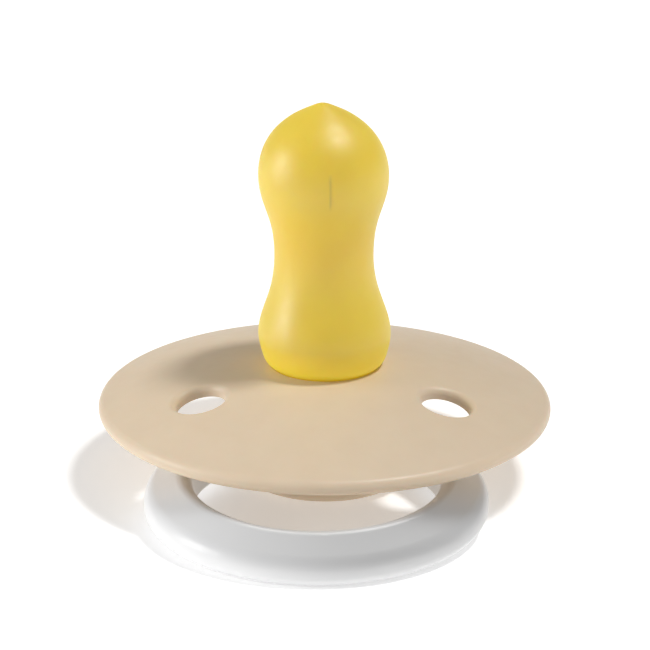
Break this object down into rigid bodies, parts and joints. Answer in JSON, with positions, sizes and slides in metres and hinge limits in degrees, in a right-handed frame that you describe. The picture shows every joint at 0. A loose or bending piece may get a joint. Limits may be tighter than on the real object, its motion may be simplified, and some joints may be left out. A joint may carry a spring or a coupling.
{
  "type": "pacifier",
  "caption": "Baby pacifier with a hollow round-tip latex teat, a crowned round shield with vent holes, a round back knob and a swinging ring handle.",
  "frame": {"origin": "centre of the knob's flat back face, on the table that the pacifier stands on and on the teat's axis", "axes": "+Z along the teat's axis towards its tip, -Y towards the resting ring handle, X along the ring's hinge bar"},
  "size_m": [0.045, 0.0517, 0.039],
  "materials": {
    "latex": "translucent amber natural latex, soft satin gloss",
    "shield_plastic": "beige moulded polypropylene, fine satin-matte grain",
    "ring_plastic": "white moulded polypropylene, satin gloss with a faint parting line"
  },
  "bodies": {
    "body": {"teat": "latex", "shield": "shield_plastic", "core_plug": "shield_plastic", "knob": "shield_plastic"},
    "ring": {"ring_handle": "ring_plastic"}
  },
  "joints": [
    {"name": "ring_swing", "type": "hinge", "parent": "body", "child": "ring", "pos_m": [0, -0.0015, 0.00395], "axis": [1, 0, 0], "range_deg": [-4.5, 176]}
  ]
}
